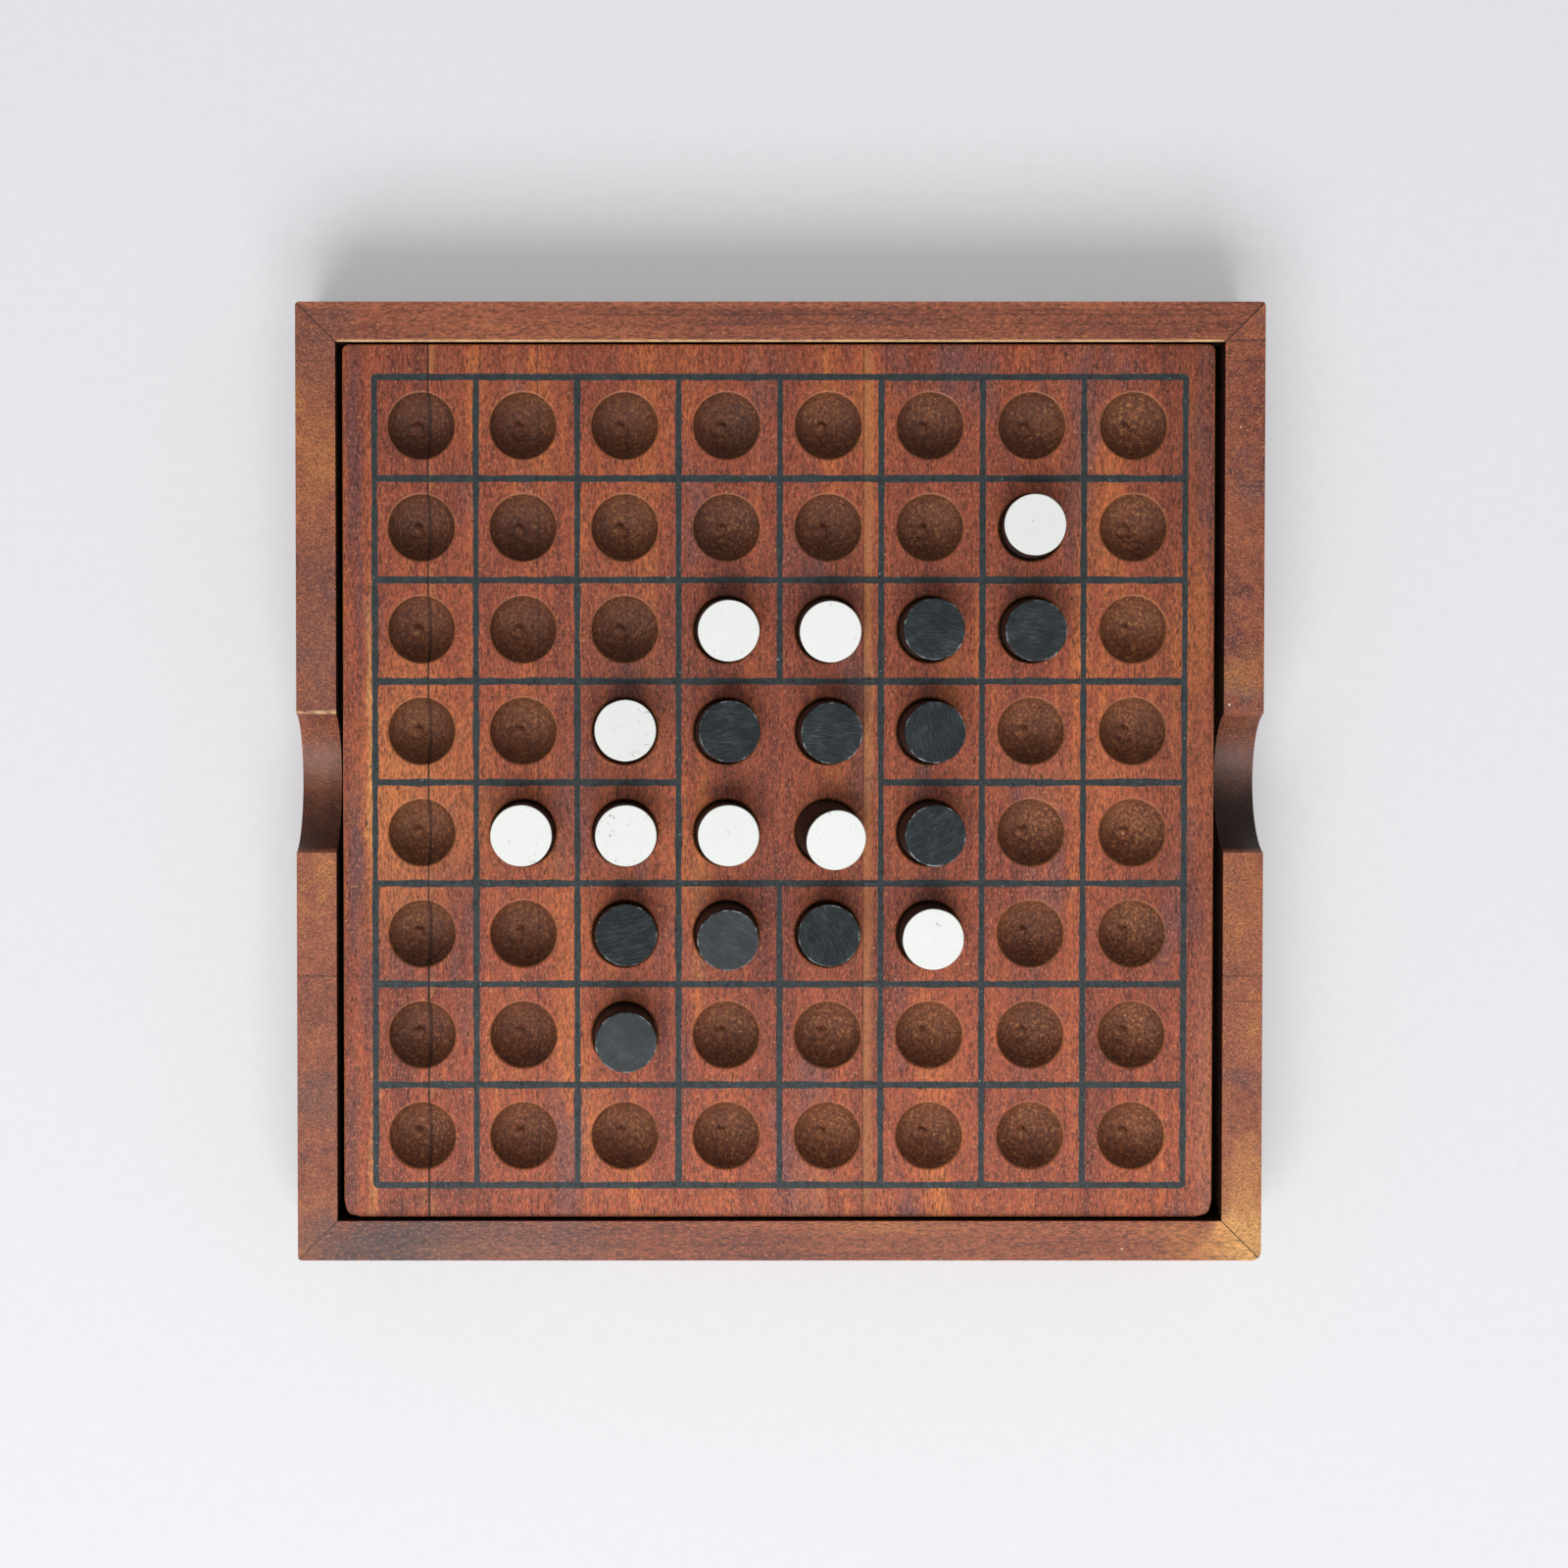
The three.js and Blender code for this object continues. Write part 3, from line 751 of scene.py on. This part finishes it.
def rail(side):
    """A rail from its CAD solid, with its arrises rounded by hand sanding."""
    node = f"rail_{side}"
    mesh = bmesh.new()
    mesh.from_mesh(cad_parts[node].data)
    bmesh.ops.remove_doubles(mesh, verts=mesh.verts, dist=0.005 * MM)
    bmesh.ops.dissolve_limit(
        mesh, angle_limit=math.radians(1), verts=mesh.verts, edges=mesh.edges, delimit=set()
    )
    round_corners(mesh)
    weights = mesh.edges.layers.float.new("bevel_weight_edge")
    for edge in mesh.edges:
        if len(edge.link_faces) < 2 or edge.calc_face_angle(0) < math.radians(30):
            continue
        edge[weights] = arris_of(edge) / NOTCH_ARRIS
    grain = "x" if side in ("front", "back") else "end"
    piece = new_piece(node + "_wood", mesh, [materials[f"rail_wood_{grain}"]])
    bevel = piece.modifiers.new("arris", "BEVEL")
    bevel.limit_method = "WEIGHT"
    bevel.width = NOTCH_ARRIS
    bevel.segments = 3
    for polygon in piece.data.polygons:
        polygon.use_smooth = True
    weighted = piece.modifiers.new("flat faces", "WEIGHTED_NORMAL")
    weighted.keep_sharp = True
    return hold(piece, "tray", "rail_wood", node)


def arris_of(edge):
    """How far an edge of a rail is rounded."""
    middle = (edge.verts[0].co + edge.verts[1].co) / 2
    faces = edge.link_faces
    mitred = [abs(abs(f.normal.x) - abs(f.normal.y)) < 0.01 and abs(f.normal.z) < 0.01 for f in faces]
    if any(mitred):
        return MITRE_ARRIS
    scooped = [abs(f.normal.x) < 0.01 and 0.01 < abs(f.normal.z) < 0.999 for f in faces]
    lowest_scoop = abs(middle.y) < 1 * MM and 5 * MM < middle.z < tray_high.z - 1 * MM
    if any(scooped) or lowest_scoop:
        return NOTCH_ARRIS
    return RAIL_ARRIS


# ---------------------------------------------------------------- discs

DISC_STEPS = 64
DISCS_PER_ROW = 5
DISC_ARRIS = 0.18 * MM
ARRIS_BANDS = 3
INNER_RING_SHARE = 0.55
# Faces of a leaning disc that point up at least this much belong to its upper face
LEAST_UPWARD = 0.92
SIDE_WEAR = 0.05 * MM
# Dents per metre in the sides of the discs
DENTS = 450
# The last of these is a pale painted highlight, in patches, round the upper arris of each black disc
WHITE, BLACK, SIDE, ARRIS_HIGHLIGHT = 0, 1, 2, 3


def disc_profile():
    """(radius, height) of each ring of a disc, from its lower face over its side to its upper face."""
    rings = [(DISC_RADIUS * INNER_RING_SHARE, 0.0), (DISC_RADIUS - DISC_ARRIS, 0.0)]
    for turn in (30, 60, 90):
        angle = math.radians(turn)
        rings.append((DISC_RADIUS - DISC_ARRIS * (1 - math.sin(angle)), DISC_ARRIS * (1 - math.cos(angle))))
    rings.append((DISC_RADIUS, DISC_HEIGHT * 0.5))
    return rings + [(radius, DISC_HEIGHT - height) for radius, height in reversed(rings[:-1])]


def disc_mesh(up, seed):
    """A disc standing on z = 0, with each point's place kept in the attribute local, turned at random."""
    chance = random.Random(seed)
    turn = Matrix.Rotation(chance.uniform(0, math.pi), 3, "Z")
    shift = Vector((chance.uniform(-1, 1), chance.uniform(-1, 1), chance.uniform(-1, 1)))
    mesh = bmesh.new()
    local = mesh.verts.layers.float_vector.new("local")

    def add_vert(radius, angle, height):
        place = Vector((radius * math.cos(angle), radius * math.sin(angle), height))
        wear = noise.noise(place * DENTS + shift * 9) * SIDE_WEAR
        scale = 1 + wear / DISC_RADIUS if 0 < height < DISC_HEIGHT else 1
        vert = mesh.verts.new((place.x * scale, place.y * scale, place.z))
        vert[local] = turn @ place + shift
        return vert

    loops = []
    for radius, height in disc_profile():
        loops.append([add_vert(radius, 2 * math.pi * s / DISC_STEPS, height) for s in range(DISC_STEPS)])
    top_paint, bottom_paint = (WHITE, BLACK) if up == "white" else (BLACK, WHITE)
    # Black discs get a painted highlight round their upper arris
    top_arris = WHITE if up == "white" else ARRIS_HIGHLIGHT
    last = len(loops) - 2
    for index, (lower, upper) in enumerate(zip(loops, loops[1:])):
        paint = SIDE
        if index == 0:
            paint = bottom_paint
        elif index == last:
            paint = top_paint
        elif index > last - ARRIS_BANDS:
            paint = top_arris
        for step in range(DISC_STEPS):
            after = (step + 1) % DISC_STEPS
            face = mesh.faces.new((lower[step], lower[after], upper[after], upper[step]))
            face.smooth = 0 < index < last
            face.material_index = paint
    for loop, height, paint in ((loops[0], 0.0, bottom_paint), (loops[-1], DISC_HEIGHT, top_paint)):
        centre = add_vert(0, 0, height)
        for step in range(DISC_STEPS):
            mesh.faces.new((loop[step], loop[(step + 1) % DISC_STEPS], centre)).material_index = paint
    bmesh.ops.recalc_face_normals(mesh, faces=mesh.faces)
    return mesh


def cad_disc_pose(node):
    """Where a CAD disc stands: the middle of its lower face and the way its axis points."""
    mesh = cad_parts[node].data
    axis = Vector()
    for polygon in mesh.polygons:
        if polygon.normal.z > LEAST_UPWARD:
            axis += polygon.normal * polygon.area
    axis.normalize()
    turn = Vector((0, 0, 1)).rotation_difference(axis).to_matrix()
    local = [turn.inverted() @ vert.co for vert in mesh.vertices]
    low = Vector([min(point[i] for point in local) for i in range(3)])
    high = Vector([max(point[i] for point in local) for i in range(3)])
    middle = (low + high) / 2
    return Matrix.Translation(turn @ Vector((middle.x, middle.y, low.z))) @ turn.to_4x4()


def disc_in_play(node, body, seed):
    """A disc where its CAD disc stands, no higher than that one reaches."""
    up = node.rsplit("_", 1)[1]
    mesh = disc_mesh(up, seed)
    mesh.transform(cad_disc_pose(node))
    too_high = max(vert.co.z for vert in mesh.verts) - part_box(node)[1].z
    mesh.transform(Matrix.Translation((0, 0, -max(too_high, 0))))
    piece = new_piece(node + "_up", mesh, disc_materials)
    return hold(piece, body, f"{up}_face", node)


def spare_discs(node, seed):
    """The discs of one stored row, each a piece of its own, either way up."""
    low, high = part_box(node)
    pitch = (high.x - low.x - 2 * DISC_RADIUS) / (DISCS_PER_ROW - 1)
    chance = random.Random(seed)
    for place in range(DISCS_PER_ROW):
        up = chance.choice(("white", "black"))
        mesh = disc_mesh(up, seed + place)
        lift = Vector((low.x + DISC_RADIUS + place * pitch, (low.y + high.y) / 2, low.z))
        mesh.transform(Matrix.Translation(lift))
        piece = new_piece(f"{node}_disc_{place + 1}", mesh, disc_materials)
        hold(piece, "tray", "black_face", node)


# ---------------------------------------------------------------- assembly

materials = {
    "board_wood": board_wood(),
    "rail_wood_x": rail_wood("rail_wood_x", "x"),
    "rail_wood_end": rail_wood("rail_wood_end", "z"),
    "plywood": bare_plywood(),
}
WHITE_TONES = ((0.33, "#8f9490"), (0.37, "#e7e9e6"), (0.7, "#eceeeb"))
BLACK_TONES = ((0.32, "#0f1518"), (0.5, "#1f2629"), (0.66, "#3f494d"))
SIDE_TONES = ((0.3, "#120f0f"), (0.5, "#1f1a1a"), (0.72, "#3a2320"))
# Pale painted highlight, in patches, for the upper arris of the black discs
ARRIS_HIGHLIGHT_TONES = ((0.46, "#20272a"), (0.53, "#4f595c"), (0.62, "#a7b0b2"))
# In the order of WHITE, BLACK, SIDE and ARRIS_HIGHLIGHT
disc_materials = [
    disc_paint("white_paint", WHITE_TONES, (900, 1500, 900), 0.45),
    disc_paint("black_paint", BLACK_TONES, (500, 4200, 900), 0.45),
    disc_paint("black_side_paint", SIDE_TONES, (700, 700, 160), 0.5),
    disc_paint("black_arris_highlight_paint", ARRIS_HIGHLIGHT_TONES, (500, 500, 500), 0.45),
]

hold(board_strip("board_left", None, seams[0]), "board", "board_wood", STRIPS[0])
hold(board_strip("board_middle", seams[0], seams[1]), "board", "board_wood", STRIPS[1])
hold(board_strip("board_right", seams[1], None), "board", "board_wood", STRIPS[2])

for rail_side in ("front", "back", "left", "right"):
    rail(rail_side)

for plain_node in ("bottom_panel", "cleat_front", "cleat_back"):
    cad_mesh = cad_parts[plain_node].data
    cad_mesh.materials.clear()
    cad_mesh.materials.append(materials["plywood"])

for number, cad_node in enumerate(sorted(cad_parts)):
    if cad_node.startswith("disc_"):
        disc_in_play(cad_node, cad_node.rsplit("_", 1)[0], 100 * number)
    elif cad_node.startswith("spare_discs_row_"):
        spare_discs(cad_node, 100 * number)

# ---------------------------------------------------------------- stage, light and camera


FLOOR_GLOW = 0.27


def stage_floor():
    """A wide pale floor that glows a little, as a light table does, so that shadows on it stay soft."""
    mesh = bmesh.new()
    bmesh.ops.create_grid(mesh, x_segments=1, y_segments=1, size=3)
    floor = new_piece("floor", mesh, [])
    floor.location.z = tray_low.z
    shader = Shader("pale_floor")
    fine = shader.noise(shader.position(), (400, 400, 400), detail=2)
    color = shader.ramp(fine, ((0.3, "#c3c4c6"), (0.7, "#c6c7c9")))
    material = shader.finish(color, 0.9, shader.bump(fine, 0.02 * MM), specular=0.1)
    surface = material.node_tree.nodes["Principled BSDF"]
    surface.inputs["Emission Color"].default_value = rgb("#f6f8fc")
    surface.inputs["Emission Strength"].default_value = FLOOR_GLOW
    floor.data.materials.append(material)


def area_light(name, place, target, size, power):
    data = bpy.data.lights.new(name, "AREA")
    data.shape = "RECTANGLE"
    data.size, data.size_y = size
    data.energy = power
    lamp = bpy.data.objects.new(name, data)
    lamp.location = place
    lamp.rotation_euler = (Vector(target) - Vector(place)).to_track_quat("-Z", "Y").to_euler()
    bpy.context.scene.collection.objects.link(lamp)


def sky(strength):
    world = bpy.data.worlds.new("soft studio")
    world.use_nodes = True
    world.node_tree.nodes["Background"].inputs["Color"].default_value = (1.0, 1.0, 1.0, 1.0)
    world.node_tree.nodes["Background"].inputs["Strength"].default_value = strength
    bpy.context.scene.world = world


CAMERA_PLACE = Vector((-22 * MM, 27 * MM, 603 * MM))
CAMERA_PITCH = math.radians(1.46)
CAMERA_LENS = 67.6
CAMERA_SHIFT = (0.074, -0.0404)


def camera():
    data = bpy.data.cameras.new("camera")
    data.lens = CAMERA_LENS
    data.sensor_width = 36
    data.shift_x, data.shift_y = CAMERA_SHIFT
    eye = bpy.data.objects.new("camera", data)
    eye.location = CAMERA_PLACE
    eye.rotation_euler = (-CAMERA_PITCH, 0, 0)
    bpy.context.scene.collection.objects.link(eye)
    bpy.context.scene.camera = eye


stage_floor()
sky(strength=0.38)
area_light("key", place=(-0.12, -0.88, 1.1), target=(0, 0, 0), size=(1.25, 0.8), power=19.5)
camera()
bpy.context.scene.view_settings.view_transform = "Standard"
